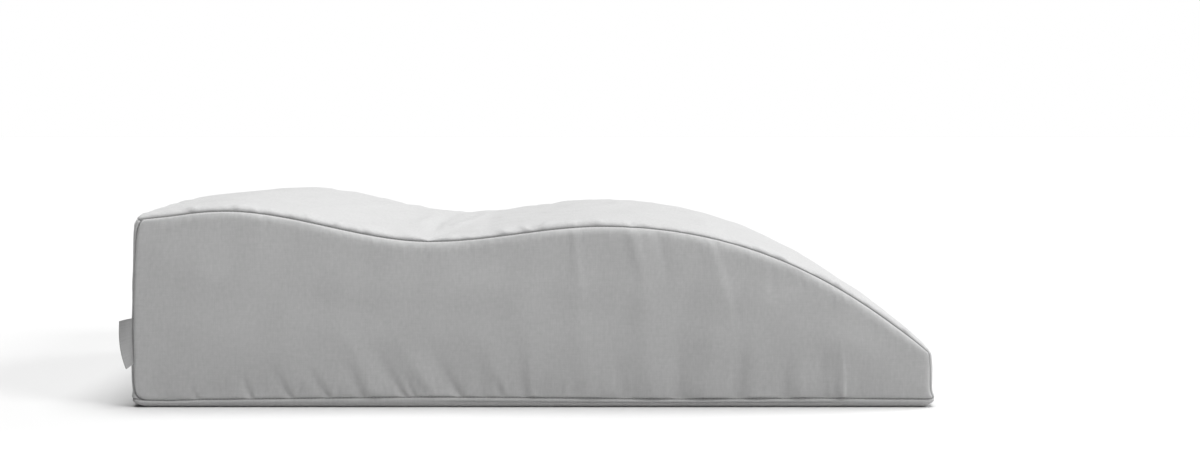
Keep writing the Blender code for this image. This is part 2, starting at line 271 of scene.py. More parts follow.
HEEL_FOLDS = (
    # along at foot, up at foot, along at head, up at head, bend, half width at foot, at head,
    # rise at foot, at head, spread
    (60, 12, 116, 66, 4, 8.0, 13.0, -1.5, -0.5, 1.0),
    (88, 12, 146, 74, 4, 9.0, 14.0, 1.0, 0.4, 1.0),
    (96, 92, 36, 166, 6, 14.0, 8.0, -0.4, -1.2, 1.0),
    (124, 98, 70, 168, 5, 14.0, 9.0, 0.4, 0.9, 1.0),
    (250, 12, 224, 76, 3, 9.0, 16.0, -1.2, -0.4, 1.0),
    (290, 12, 312, 60, 0, 9.0, 14.0, -1.0, -0.3, 1.0),
    (352, 100, 416, 166, -6, 14.0, 8.0, -0.4, -1.2, 1.0),
    (398, 12, 338, 68, -5, 8.0, 13.0, -1.5, -0.5, 1.0),
)
# Past its head and its foot a fold fades over these shares of its length.
HEAD_FADE = 0.35
FOOT_FADE = 0.25


def fold_rise(along, up, folds):
    """How far the folds push their panel out.

    A fold's middle runs straight from foot to head and swings out by its bend times a half sine. Across it
    the rise falls off as exp(-d^2). Along it the rise and the width go evenly from foot to head, and it fades
    by the S curve past each end.
    """
    push = np.zeros(len(along))
    for foot, foot_up, head, head_up, bend, foot_width, head_width, foot_rise, head_rise, spread in folds:
        t = (up - foot_up) / (head_up - foot_up)
        inside = np.clip(t, 0.0, 1.0)
        across = along - (foot + (head - foot) * t + bend * np.sin(math.pi * inside))
        width = (foot_width + (head_width - foot_width) * inside) * np.where(across < 0.0, spread, 1.0)
        fade = smooth(1.0 + (1.0 - t) / HEAD_FADE) * smooth(1.0 + t / FOOT_FADE)
        push += (foot_rise + (head_rise - foot_rise) * inside) * fade * np.exp(-((across / width) ** 2))
    return push


# How uneven the seeded puckers are: the least and the most share of each size.
GATHER_SHIFT = (-0.4, 0.4)
GATHER_REACH = (0.5, 1.4)
GATHER_LEAN = (-0.45, 0.45)
GATHER_WIDTH = (0.7, 1.4)
GATHER_RISE = (0.4, 1.0)
# A pucker's width and rise at its head, as shares of those at its foot.
GATHER_HEAD_WIDTH = 1.7
GATHER_HEAD_RISE = 0.2


def gathers(seed, count, first, last, root, reach, half_width, rise):
    """Rows like FRONT_FOLDS for seeded puckers that start at a seam, at the height root of their panel.

    They are spread from first to last, each moved by a random share of a space. Each one's reach, lean, width
    and rise are random shares of the sizes given. A negative reach runs down the panel.
    """
    random = np.random.default_rng(seed)
    place = first + (last - first) / count * (np.arange(count) + 0.5 + random.uniform(*GATHER_SHIFT, count))
    run = reach * random.uniform(*GATHER_REACH, count)
    lean = run * random.uniform(*GATHER_LEAN, count)
    wide = half_width * random.uniform(*GATHER_WIDTH, count)
    high = rise * random.uniform(*GATHER_RISE, count) * random.choice((-1.0, 1.0), count)
    zero = np.zeros(count)
    foot, head = (place, zero + root), (place + lean, root + run)
    end_widths, end_rises = (wide, GATHER_HEAD_WIDTH * wide), (high, GATHER_HEAD_RISE * high)
    return zip(*foot, *head, zero, *end_widths, *end_rises, zero + 1.0)


# Puckers at the seams of the top panel and of the two ends: seed, count, first and last place, height of the
# seam, reach, half width and rise, in millimetres.
FRONT_GATHERS = (31, 26, 20, 700, 1, 40, 3.8, 1.40)
BACK_GATHERS = (32, 27, 20, 700, 449, -40, 3.8, 1.40)
HEEL_TOP_GATHERS = (33, 14, 20, 430, 1, 34, 8.5, 1.30)
HEEL_FOOT_GATHERS = (34, 13, 20, 430, 8, 44, 8.5, 1.60)
HEEL_HEAD_GATHERS = (35, 12, 20, 430, 172, -46, 8.5, 1.20)
NOSE_GATHERS = (36, 13, 20, 430, 8, 26, 8.5, 1.30)

# Folds are nothing at a seam and come up to their full rise over these distances from it.
LOWER_SEAM_FREE = 0.002
TOP_SEAM_FREE = 0.006
UPRIGHT_SEAM_FREE = 0.010


def folded(points, s, y, z):
    """The panels pushed in and out along their folds and puckers, held to nothing at the seams."""
    top, _ = top_line(s)
    end_free = smooth(np.minimum(s, LENGTH - s) / UPRIGHT_SEAM_FREE)
    foot_free = smooth((z - LOWER_SEAM) / LOWER_SEAM_FREE)
    along, up, over = s * 1000.0, z * 1000.0, (y + WIDTH / 2) * 1000.0
    moved = points.copy()
    for side, folds in ((-1.0, FRONT_FOLDS), (1.0, BACK_FOLDS)):
        here = np.flatnonzero((y == side * WIDTH / 2) & (z > LOWER_SEAM))
        free = smooth((top[here] - z[here]) / SIDE_EDGE_RADIUS) * foot_free[here]
        moved[here, 1] += side * 0.001 * fold_rise(along[here], up[here], folds) * free * end_free[here]
    here = np.flatnonzero(z == top)
    free = smooth((WIDTH / 2 - np.abs(y[here])) / TOP_SEAM_FREE)
    rise = fold_rise(along[here], over[here], TOP_FOLDS)
    rise += fold_rise(along[here], over[here], gathers(*FRONT_GATHERS))
    rise += fold_rise(along[here], over[here], gathers(*BACK_GATHERS))
    rise += fold_rise(over[here], along[here], gathers(*HEEL_TOP_GATHERS))
    moved[here, 2] += 0.001 * rise * free * end_free[here]
    heel_folds = (HEEL_FOLDS, gathers(*HEEL_FOOT_GATHERS), gathers(*HEEL_HEAD_GATHERS))
    for end, way, ends in ((0.0, -1.0, heel_folds), (LENGTH, 1.0, (gathers(*NOSE_GATHERS),))):
        here = np.flatnonzero((s == end) & (z > LOWER_SEAM))
        free = smooth((top[here] - z[here]) / TOP_SEAM_FREE) * foot_free[here]
        free *= smooth((WIDTH / 2 - np.abs(y[here])) / UPRIGHT_SEAM_FREE)
        rise = sum(fold_rise(over[here], up[here], folds) for folds in ends)
        moved[here, 0] += way * 0.001 * rise * free
    return moved


# The lower seam wanders up and down along each side, in metres.
SEAM_WANDER = (
    # distance from the heel end, height on the front, height on the back
    (0.000, 0.0072, 0.0078),
    (0.030, 0.0063, 0.0074),
    (0.056, 0.0072, 0.0069),
    (0.147, 0.0083, 0.0076),
    (0.256, 0.0096, 0.0088),
    (0.328, 0.0093, 0.0092),
    (0.383, 0.0087, 0.0086),
    (0.474, 0.0077, 0.0090),
    (0.546, 0.0080, 0.0081),
    (0.619, 0.0085, 0.0074),
    (0.720, 0.0076, 0.0077),
)
WANDER_REACH = 0.026
WANDER_END = 0.012


def wandered(points, s, y, z):
    """The side panels' lower edges raised or lowered to SEAM_WANDER, fading to the floor and up the panel."""
    stations, front, back = np.array(SEAM_WANDER).T
    target = np.where(y < 0.0, np.interp(s, stations, front), np.interp(s, stations, back))
    below, above = np.clip(z / LOWER_SEAM, 0.0, 1.0), smooth((z - LOWER_SEAM) / WANDER_REACH)
    beside = (np.abs(y) == WIDTH / 2) * smooth(np.minimum(s, LENGTH - s) / WANDER_END)
    moved = points.copy()
    moved[:, 2] += (target - LOWER_SEAM) * below * (1.0 - above) * beside
    return moved


# The upright seams of the side panels: the radius of their turn into the lower seam, and how they run in at
# the top of the heel.
HEEL_TURN = 0.0135
NOSE_TURN = 0.0035
HEEL_TOP_SHIFT = 0.0080
HEEL_TOP_FADE = 0.0110
SHIFT_END = 0.0025
SHIFT_REACH = 0.040


def seam_shift(s, z):
    """How far in from the block's edge the upright seam of a side panel runs, at height z of its end.

    At the foot it turns into the lower seam along a quarter circle, r - sqrt(r^2 - (r - h)^2). At the top of
    the heel it runs in by exp(-d) of the distance to the top.
    """
    at_heel = s < LENGTH / 2
    turn = np.where(at_heel, HEEL_TURN, NOSE_TURN)
    left = np.clip(turn - (z - LOWER_SEAM), 0.0, turn)
    foot = (turn - np.sqrt(turn**2 - left**2)) * np.clip(z / LOWER_SEAM, 0.0, 1.0)
    to_top = np.maximum(TOP_LINE[0][2] - z, 0.0)
    head = HEEL_TOP_SHIFT * np.exp(-to_top / HEEL_TOP_FADE) * smooth(to_top / SHIFT_END)
    return foot + np.where(at_heel, head, 0.0)


def slid(s, y, z):
    """Lattice points of the sides and ends slid along the cloth, so the upright lattice edge is the seam.

    The slide is seam_shift at the edge and fades by the S curve of the distance from it. A point of an end
    that is slid past the edge goes on along the side.
    """
    top, _ = top_line(s)
    end_gap, side_gap = np.minimum(s, LENGTH - s), WIDTH / 2 - np.abs(y)
    on_wall = ((end_gap == 0.0) | (side_gap == 0.0)) & (z > 0.0) & (z < top)
    along = np.where(side_gap == 0.0, end_gap, -side_gap)
    moved = along + seam_shift(s, z) * (1.0 - smooth(np.abs(along) / SHIFT_REACH))
    new_end, new_side = np.maximum(moved, 0.0), np.maximum(-moved, 0.0)
    slid_s = np.where(s < LENGTH / 2, new_end, LENGTH - new_end)
    slid_y = np.sign(y) * (WIDTH / 2 - new_side)
    near = on_wall & (np.abs(along) < SHIFT_REACH)
    new_s, new_y = np.where(near, slid_s, s), np.where(near, slid_y, y)
    new_top, _ = top_line(new_s)
    new_z = np.where(near, z * (1.0 + (new_top / top - 1.0) * smooth(z / top)), z)
    return new_s, new_y, new_z


def draped(s, y, z):
    """The cover's surface before its seams are drawn in."""
    points = crowned(rounded(s, y, z), s, y, z)
    return wandered(folded(points, s, y, z), s, y, z)


def lines_through(stops, spacings):
    """Lines from the first stop to the last, evenly spaced between two stops by about the size given."""
    spans = [
        np.linspace(start, end, round((end - start) / spacing) + 1)[:-1]
        for start, end, spacing in zip(stops[:-1], stops[1:], spacings)
    ]
    return np.concatenate(spans + [[stops[-1]]])


# Lines of the lattice whose outer shell is the cover. They lie close together by a seam, and at narrow folds.
NEAR_EDGE = np.array((0.0, 0.0007, 0.0011, 0.0017, 0.0026, 0.0039, 0.0057, 0.0080, 0.0108, 0.0142))
BELOW_LOWER_SEAM = 0.001 * np.array(
    (0.0, 0.7, 1.4, 2.1, 2.8, 3.4, 3.8, 4.2, 4.7, 5.3, 6.0, 6.6, 7.1, 7.5, 7.7)
)
ABOVE_LOWER_SEAM = LOWER_SEAM + 0.001 * np.array((0.0, 0.3, 0.5, 0.9, 1.5, 2.4, 3.6, 5.2, 7.2, 9.6))
COLUMN_STOPS = (NEAR_EDGE[-1], 0.045, 0.362, 0.626, 0.649, LENGTH - NEAR_EDGE[-1])
COLUMN_SPACINGS = (0.0022, 0.0016, 0.0021, 0.0011, 0.0024)
WIDTH_STOPS = (NEAR_EDGE[-1], WIDTH - NEAR_EDGE[-1])
WIDTH_SPACINGS = (0.0068,)
# Between the low rows and the high ones the stops and spacings are shares of the way up.
ROW_STOPS = (0.0, 0.22, 1.0)
ROW_SPACINGS = (0.024, 0.044)

columns = lines_through(COLUMN_STOPS, COLUMN_SPACINGS)
columns = np.concatenate([NEAR_EDGE[:-1], columns, LENGTH - NEAR_EDGE[-2::-1]])
widths = lines_through(WIDTH_STOPS, WIDTH_SPACINGS)
widths = np.concatenate([NEAR_EDGE[:-1], widths, WIDTH - NEAR_EDGE[-2::-1]]) - WIDTH / 2
widths[0], widths[-1] = -WIDTH / 2, WIDTH / 2
tops, _ = top_line(columns)
low_rows = np.concatenate([BELOW_LOWER_SEAM, ABOVE_LOWER_SEAM])
high_rows = tops[:, None] - NEAR_EDGE[::-1]
row_share = lines_through(ROW_STOPS, ROW_SPACINGS)[1:-1]
mid_rows = low_rows[-1] + (high_rows[:, :1] - low_rows[-1]) * row_share
rows = np.concatenate([np.repeat([low_rows], len(columns), axis=0), mid_rows, high_rows], axis=1)

# The underside has a rim this many small faces wide, round one flat face.
RIM = len(NEAR_EDGE) - 3
i, j, k = np.indices((len(columns), len(widths), rows.shape[1]))
in_rim = np.minimum(np.minimum(i, i.max() - i), np.minimum(j, j.max() - j)) <= RIM
outer = (i == 0) | (i == i.max()) | (j == 0) | (j == j.max()) | ((k == 0) & in_rim) | (k == k.max())
index = np.full(i.shape, -1)
index[outer] = np.arange(outer.sum())
s, y, z = slid(columns[i[outer]], widths[j[outer]], rows[i[outer], k[outer]])


def quads(sheet, turned):
    """Faces of a grid of point numbers, facing along first axis cross second, or the other way if turned."""
    corners = (sheet[:-1, :-1], sheet[1:, :-1], sheet[1:, 1:], sheet[:-1, 1:])
    faces = np.stack([corner.ravel() for corner in corners], axis=1)
    return faces[:, ::-1] if turned else faces


floor_index = index[:, :, 0]
rim_faces = quads(floor_index, True)
rim_faces = rim_faces[(rim_faces >= 0).all(axis=1)]
loop = np.concatenate(
    [
        floor_index[RIM, RIM:-RIM - 1],
        floor_index[RIM:-RIM - 1, -RIM - 1],
        floor_index[-RIM - 1, -RIM - 1:RIM:-1],
        floor_index[-RIM - 1:RIM:-1, RIM],
    ]
)
panels = {
    "underside": rim_faces,
    "top": quads(index[:, :, -1], False),
    "front": quads(index[:, 0, :], False),
    "back": quads(index[:, -1, :], True),
    "heel": quads(index[0], True),
    "nose": quads(index[-1], False),
}
faces = np.concatenate(list(panels.values()))


def normals_of(points, faces):
    """The unit normal at each point: the sum of the cross products of the diagonals of its quads."""
    a, b, c, d = (points[faces[:, corner]] for corner in range(4))
    area = np.cross(c - a, d - b)
    normals = np.zeros_like(points)
    for corner in range(4):
        for axis in range(3):
            normals[:, axis] += np.bincount(faces[:, corner], area[:, axis], len(points))
    return normals / np.linalg.norm(normals, axis=1)[:, None]


SEAM_DEPTH = 0.0025
SEAM_ROLL = 0.0026
SEAM_SLIT = 0.00025
LOWER_SEAM_SHARE = 0.60
NOSE_SEAM_SHARE = 0.70
HEEL_SEAM_GAP = NEAR_EDGE[4]
BAND_FOLD_HEIGHT = 0.0040
BAND_FOLD_DEPTH = 0.0011
BAND_FOLD_HALF = 0.0007
BAND_FOLD_START = (0.250, 0.300)
BAND_FOLD_END = (0.625, 0.650)
UNEVEN_WAVES = 14
UNEVEN_SHORTEST = 0.026
UNEVEN_LONGEST = 0.110
UNEVEN_RISE = 0.00020
UNEVEN_SEED = 11
PUCKER_WAVES = 9
PUCKER_SHORTEST = 0.0060
PUCKER_LONGEST = 0.0210
PUCKER_RISE = 0.00010
PUCKER_REACH = 0.011
PUCKER_TILT = 0.45
PUCKER_SEED = 23
# The unevenness and the puckers come up to their full rise over these distances from the floor and the seam.
FLOOR_FREE = 0.020
SEAM_FREE = 0.006
# Where the upper seams start to grow shallow towards the nose, and over what length.
SHALLOW_START = 0.30
SHALLOW_REACH = 0.20
# The step over which an upright seam's lean is measured.
SHIFT_STEP = 0.0002


def edge_arc(s, z, gap):
    """Length of cloth from a rounded edge's middle, at 45 degrees of its arc, to a point gap from it."""
    radius = edge_radius(s, z)
    inside = radius * (math.pi / 4 - np.arctan(np.maximum(radius - gap, 0.0) / radius))
    return inside + np.maximum(gap - radius, 0.0)


def seam_distances(s, y, z):
    """How far each point lies along the cloth from the nearest upper seam, and from the lower seam.

    The upper seams are the top and upright edges of the side panels and the heel's top seam, which hangs a
    little below the edge. The upright ones lie seam_shift in from the edge. The lower seam runs all round.
    """
    top, slope = top_line(s)
    end_gap, side_gap = np.minimum(s, LENGTH - s), WIDTH / 2 - np.abs(y)
    beside, at_end, on_top = side_gap == 0.0, end_gap == 0.0, z == top
    wall = (beside | at_end) & (z >= LOWER_SEAM)
    far = 1.0
    shift = seam_shift(s, z)
    lean = (seam_shift(s, z + SHIFT_STEP) - seam_shift(s, z - SHIFT_STEP)) / (2.0 * SHIFT_STEP)
    from_edge = np.where(beside, edge_arc(s, z, end_gap), -edge_arc(s, z, side_gap))
    upright = np.abs(from_edge - edge_arc(s, z, shift)) / np.hypot(1.0, lean)
    below_top = edge_arc(s, z, (top - z) / np.hypot(1.0, slope))
    hang = edge_arc(0.0, top, HEEL_SEAM_GAP)
    upper = np.where(on_top, edge_arc(s, z, side_gap), far)
    upper = np.minimum(upper, np.where(on_top, edge_arc(s, z, s) + hang, far))
    upper = np.minimum(upper, np.where(beside & wall, below_top, far))
    upper = np.minimum(upper, np.where((s == 0.0) & wall, np.abs(below_top - hang), far))
    upper = np.minimum(upper, np.where(wall, upright, far))
    return upper, np.where(beside | at_end, np.abs(z - LOWER_SEAM), far)


def rolled_in(distance):
    """Depth of a seam: a narrow slit, then each panel turns out along a quarter circle of SEAM_ROLL."""
    share = np.clip((distance - SEAM_SLIT) / SEAM_ROLL, 0.0, 1.0)
    return SEAM_DEPTH * (1.0 - np.sqrt(1.0 - (1.0 - share) ** 2))


def band_fold(s, y, z):
    """Depth of the fold in the band below the lower seam: a trough, exp(-d^2), fading in and out along it."""
    along = smooth((s - BAND_FOLD_START[0]) / (BAND_FOLD_START[1] - BAND_FOLD_START[0]))
    along *= 1.0 - smooth((s - BAND_FOLD_END[0]) / (BAND_FOLD_END[1] - BAND_FOLD_END[0]))
    across = np.exp(-(((z - BAND_FOLD_HEIGHT) / BAND_FOLD_HALF) ** 2))
    return BAND_FOLD_DEPTH * along * across * (y == -WIDTH / 2)


def unevenness(points):
    """Slight lumps of the cloth: the sum of plane sine waves with seeded directions and phases.

    Their lengths are evenly spaced by ratio, and a wave's rise goes by the root of its length.
    """
    random = np.random.default_rng(UNEVEN_SEED)
    total = np.zeros(len(points))
    for length in np.geomspace(UNEVEN_SHORTEST, UNEVEN_LONGEST, UNEVEN_WAVES):
        direction = random.normal(size=3)
        direction *= 2.0 * math.pi / (length * np.linalg.norm(direction))
        wave = np.sin(points @ direction + random.uniform(0.0, 2.0 * math.pi))
        total += (length / UNEVEN_LONGEST) ** 0.5 * wave
    return UNEVEN_RISE * total


def seam_puckers(points, distance):
    """Small puckers beside the seams: seeded sine waves along X plus Y, fading as exp(-d) from the seam."""
    random = np.random.default_rng(PUCKER_SEED)
    total = np.zeros(len(points))
    for length in np.geomspace(PUCKER_SHORTEST, PUCKER_LONGEST, PUCKER_WAVES):
        tilt = random.uniform(-PUCKER_TILT, PUCKER_TILT)
        way = points[:, 0] + points[:, 1] + tilt * points[:, 2]
        total += np.sin(2.0 * math.pi * way / length + random.uniform(0.0, 2.0 * math.pi))
    return PUCKER_RISE * total * np.exp(-distance / PUCKER_REACH)


cover_points = draped(s, y, z)
off_floor = smooth(z / FLOOR_FREE)
upper_gap, lower_gap = seam_distances(s, y, z)
seam_gap = np.minimum(upper_gap, lower_gap)
off_seam = smooth(seam_gap / SEAM_FREE)
push_out = (unevenness(cover_points) + seam_puckers(cover_points, seam_gap)) * off_floor * off_seam
upper_share = 1.0 - (1.0 - NOSE_SEAM_SHARE) * smooth((s - SHALLOW_START) / SHALLOW_REACH)
upper_depth, lower_depth = upper_share * rolled_in(upper_gap), LOWER_SEAM_SHARE * rolled_in(lower_gap)
push_out -= np.maximum(upper_depth, lower_depth) + band_fold(s, y, z)
cover_points += push_out[:, None] * normals_of(cover_points, faces)

cover_mesh = bpy.data.meshes.new("pillow_cover")
cover_mesh.from_pydata(cover_points.tolist(), [], faces.tolist() + [loop.tolist()])
cover_mesh.shade_smooth()
# The distance to the nearest seam, kept for the cloth material, which paints shade into the seams by it.
seam_field = cover_mesh.attributes.new("seam_gap", "FLOAT", "POINT")
seam_field.data.foreach_set("value", seam_gap.astype(np.float32))

# Each panel's own measure of its cloth in metres: along and across the side and top panels, and across and up
# the ends. Over the top the way along is the length of the line of the top.
along_top = np.concatenate([[0.0], np.cumsum(np.hypot(np.diff(columns), np.diff(tops)))])
over = np.interp(s, columns, along_top)
end_way = y + np.sign(y) * np.minimum(s, LENGTH - s)
measures = {"underside": (s, y), "top": (over, y), "front": (s, z), "back": (s, z), "heel": (end_way, z)}
measures["nose"] = measures["heel"]
panel_uv = [np.stack([way[panels[name]] for way in measures[name]], axis=2).reshape(-1, 2) for name in panels]
panel_uv.append(np.stack([s[loop], y[loop]], axis=1))
uv_layer = cover_mesh.uv_layers.new(name="cloth_metres")
uv_layer.data.foreach_set("uv", np.concatenate(panel_uv).reshape(-1))

cover = bpy.data.objects.new("pillow_cover", cover_mesh)
bpy.context.scene.collection.objects.link(cover)

CLOTH_GREY = 0.43
THREAD_PITCH = 0.00066
WEAVE_HEIGHT = 0.00012
FLAT_POWER = 0.45
# The shade and the roughness between the threads, and what the full height of a thread adds to each.
GAP_SHADE = 0.90
THREAD_SHADE = 0.16
GAP_ROUGHNESS = 0.96
THREAD_ROUGHNESS = -0.10
# Painted shade: the cloth's colour is darkened in the bottom of a seam, where shadow falls, and comes back to
# full over the reach below.
PAINTED_SEAM_SHADE = 0.70
PAINTED_SEAM_SHADE_REACH = 0.0010
SLUB_RELIEF = 0.5
# Threads are never quite even: thin slubs along both ways of the weave, and broad patches of wear.
CLOTH_STREAKS = (
    # name, noise scale per metre along and across, detail, share of the shade
    ("warp slubs", 1100.0, 60.0, 2.0, 0.14),
    ("weft slubs", 60.0, 1100.0, 2.0, 0.12),
    ("patches", 30.0, 30.0, 3.0, 0.06),
    ("mottles", 330.0, 200.0, 5.0, 0.20),
)


def joined(tree, operation, first, second=0.0, third=0.0):
    """The output of a Math node whose three inputs are sockets or numbers."""
    node = tree.nodes.new("ShaderNodeMath")
    node.operation = operation
    for socket, value in zip(node.inputs, (first, second, third)):
        if isinstance(value, (int, float)):
            socket.default_value = value
        else:
            tree.links.new(value, socket)
    return node.outputs["Value"]


def streaks(tree, way, scale_along, scale_across, detail):
    """Noise stretched along the cloth: its value, from 0 to 1, at the scales given for the two ways."""
    stretch = tree.nodes.new("ShaderNodeMapping")
    stretch.inputs["Scale"].default_value = (scale_along, scale_across, 1.0)
    noise = tree.nodes.new("ShaderNodeTexNoise")
    noise.inputs["Scale"].default_value = 1.0
    noise.inputs["Detail"].default_value = detail
    tree.links.new(way, stretch.inputs["Vector"])
    tree.links.new(stretch.outputs["Vector"], noise.inputs["Vector"])
    return noise.outputs["Fac"]


def grey_from(tree, value):
    """A grey colour of one value."""
    colour = tree.nodes.new("ShaderNodeCombineColor")
    for socket in colour.inputs[:3]:
        tree.links.new(value, socket)
    return colour.outputs["Color"]


def plain_weave(tree, way, pitch):
    """Height, from 0 to 1, of a plain weave: threads of |sin| section that pass over each other in turn.

    Where sin(u) sin(v) is positive the thread along v is on top, and its section |sin u| is round while
    |sin v| is flattened by FLAT_POWER. Elsewhere the two powers change places.
    """
    split = tree.nodes.new("ShaderNodeSeparateXYZ")
    tree.links.new(way, split.inputs["Vector"])
    turns = [joined(tree, "MULTIPLY", split.outputs[axis], math.pi / pitch) for axis in (0, 1)]
    waves = [joined(tree, "SINE", angle) for angle in turns]
    over = joined(tree, "GREATER_THAN", joined(tree, "MULTIPLY", waves[0], waves[1]), 0.0)
    along_power = joined(tree, "MULTIPLY_ADD", over, 1.0 - FLAT_POWER, FLAT_POWER)
    across_power = joined(tree, "SUBTRACT", 1.0 + FLAT_POWER, along_power)
    first = joined(tree, "POWER", joined(tree, "ABSOLUTE", waves[0]), along_power)
    second = joined(tree, "POWER", joined(tree, "ABSOLUTE", waves[1]), across_power)
    return joined(tree, "MULTIPLY", first, second)


cloth = bpy.data.materials.new("cover_cloth")
cloth.use_nodes = True
tree = cloth.node_tree
cloth_shader = tree.nodes["Principled BSDF"]
cloth_way = tree.nodes.new("ShaderNodeUVMap")
cloth_way.uv_map = "cloth_metres"
near_seam = tree.nodes.new("ShaderNodeAttribute")
near_seam.attribute_name = "seam_gap"
way = cloth_way.outputs["UV"]

weave = plain_weave(tree, way, THREAD_PITCH)
noises = [streaks(tree, way, along, across, detail) for _, along, across, detail, _ in CLOTH_STREAKS]
shade = joined(tree, "MULTIPLY_ADD", weave, THREAD_SHADE, GAP_SHADE)
for noise, (*_, share) in zip(noises, CLOTH_STREAKS):
    shade = joined(tree, "MULTIPLY_ADD", joined(tree, "SUBTRACT", noise, 0.5), share, shade)
# Painted shade in the seams: the colour is darkened where the seam_gap attribute is small.
clear_of_seam = joined(tree, "MULTIPLY", near_seam.outputs["Fac"], 1.0 / PAINTED_SEAM_SHADE_REACH)
clear_of_seam = joined(tree, "MINIMUM", clear_of_seam, 1.0)
painted_seam_shade = joined(tree, "MULTIPLY_ADD", clear_of_seam, 1.0 - PAINTED_SEAM_SHADE, PAINTED_SEAM_SHADE)
shade = joined(tree, "MULTIPLY", shade, painted_seam_shade)
shade = joined(tree, "MULTIPLY", shade, CLOTH_GREY)
roughness = joined(tree, "MULTIPLY_ADD", weave, THREAD_ROUGHNESS, GAP_ROUGHNESS)
tree.links.new(grey_from(tree, shade), cloth_shader.inputs["Base Color"])
tree.links.new(roughness, cloth_shader.inputs["Roughness"])
cloth_shader.inputs["Sheen Weight"].default_value = 0.12
cloth_shader.inputs["Sheen Roughness"].default_value = 0.5
cloth_shader.inputs["Specular IOR Level"].default_value = 0.25
warp_slubs, weft_slubs = noises[:2]
relief = joined(tree, "MULTIPLY_ADD", joined(tree, "ADD", warp_slubs, weft_slubs), SLUB_RELIEF, weave)
weave_bump = tree.nodes.new("ShaderNodeBump")
weave_bump.inputs["Strength"].default_value = 0.6
weave_bump.inputs["Distance"].default_value = WEAVE_HEIGHT
tree.links.new(relief, weave_bump.inputs["Height"])
tree.links.new(weave_bump.outputs["Normal"], cloth_shader.inputs["Normal"])
cover_mesh.materials.append(cloth)

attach(cover, "root")
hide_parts("cushion")

# The seam stitches.
# Grey thread that holds the panels together. It shows as a row of short stitches in the bottom of each seam,
# each a thread that comes out of the cloth, lies along the seam and dives in again.

STITCH_PITCH = 0.0032
STITCH_LENGTH = 0.0023
STITCH_RADIUS = 0.00030
STITCH_RISE = 0.00025
STITCH_SINK = 0.0018
LOWER_STITCH_SINK = 0.0010
STITCH_SIDES = 6
STITCH_RINGS = 5
SEAM_SAMPLES = 900
BESIDE_SEAM = 0.0030
SEAM_MARGIN = 0.0025
# The stitches of an upright seam start this share of its turn up, and stop this far below the top.
UPRIGHT_START = 0.1
UPRIGHT_STOP = 0.006


def on_wall(way, side, at_nose, height):
    """Block points at a signed way from an upright edge: positive on the side panel, negative on the end."""
    end_gap, side_gap = np.maximum(way, 0.0), np.maximum(-way, 0.0)
    return (LENGTH - end_gap if at_nose else end_gap), side * (WIDTH / 2 - side_gap), height


def seam_lines():
    """Every seam as its sink and three rows of block points: the seam and a line beside it on each panel."""
    share = np.linspace(0.0, 1.0, SEAM_SAMPLES)
    zero = np.zeros(SEAM_SAMPLES)
    beside = (0.0, BESIDE_SEAM, -BESIDE_SEAM)
    for side in (-1.0, 1.0):
        s = HEEL_EDGE_RADIUS + (LENGTH - HEEL_EDGE_RADIUS - NOSE_EDGE_RADIUS) * share
        top, edge = top_line(s)[0], zero + side * WIDTH / 2
        yield STITCH_SINK, (s, edge, top), (s, edge, top - BESIDE_SEAM), (s, edge - side * BESIDE_SEAM, top)
        s = HEEL_TURN + (LENGTH - HEEL_TURN - NOSE_TURN - SEAM_MARGIN) * share
        yield LOWER_STITCH_SINK, *((s, edge, LOWER_SEAM + offset + zero) for offset in beside)
        for at_nose, turn in ((False, HEEL_TURN), (True, NOSE_TURN)):
            end = LENGTH if at_nose else 0.0
            start = LOWER_SEAM + UPRIGHT_START * turn
            height = start + (top_line(end)[0] - start - UPRIGHT_STOP) * share
            shift = seam_shift(zero + end, height)
            yield STITCH_SINK, *(on_wall(shift + offset, side, at_nose, height) for offset in beside)
    y = (WIDTH - 4 * SEAM_MARGIN) * (share - 0.5)
    for end in (0.0, LENGTH):
        yield LOWER_STITCH_SINK, *((zero + end, y, LOWER_SEAM + offset + zero) for offset in beside)
    height, past_edge = top_line(0.0)[0] - HEEL_SEAM_GAP, BESIDE_SEAM - HEEL_SEAM_GAP / 2
    over_edge = zero + past_edge, y, zero + top_line(past_edge)[0]
    yield STITCH_SINK, (zero, y, zero + height), (zero, y, zero + height - BESIDE_SEAM), over_edge


def unit(vectors):
    """The vectors at a length of one."""
    return vectors / np.linalg.norm(vectors, axis=-1, keepdims=True)


stitch_frames = []
for sink, *lines in seam_lines():
    path, first_side, second_side = (draped(*points) for points in lines)
    run = np.concatenate([[0.0], np.cumsum(np.linalg.norm(np.diff(path, axis=0), axis=1))])
    places = np.arange(STITCH_PITCH / 2, run[-1] - STITCH_PITCH / 2, STITCH_PITCH)
    tangent = unit(np.gradient(path, axis=0))
    outward = unit(np.cross(tangent, first_side - second_side))
    outward *= np.sign(np.sum(outward * (path - (first_side + second_side) / 2), axis=1).mean())
    ways = np.concatenate([path, tangent, outward], axis=1)
    rows_at = np.stack([np.interp(places, run, way) for way in ways.T], axis=1)
    middle, along, out = rows_at.reshape(-1, 3, 3).transpose(1, 0, 2)
    out = unit(out)
    stitch_frames.append(np.stack([middle - sink * out, along, out]))
stitch_middle, stitch_along, stitch_out = np.concatenate(stitch_frames, axis=1)
stitch_across = unit(np.cross(stitch_out, stitch_along))
stitch_along = np.cross(stitch_across, stitch_out)

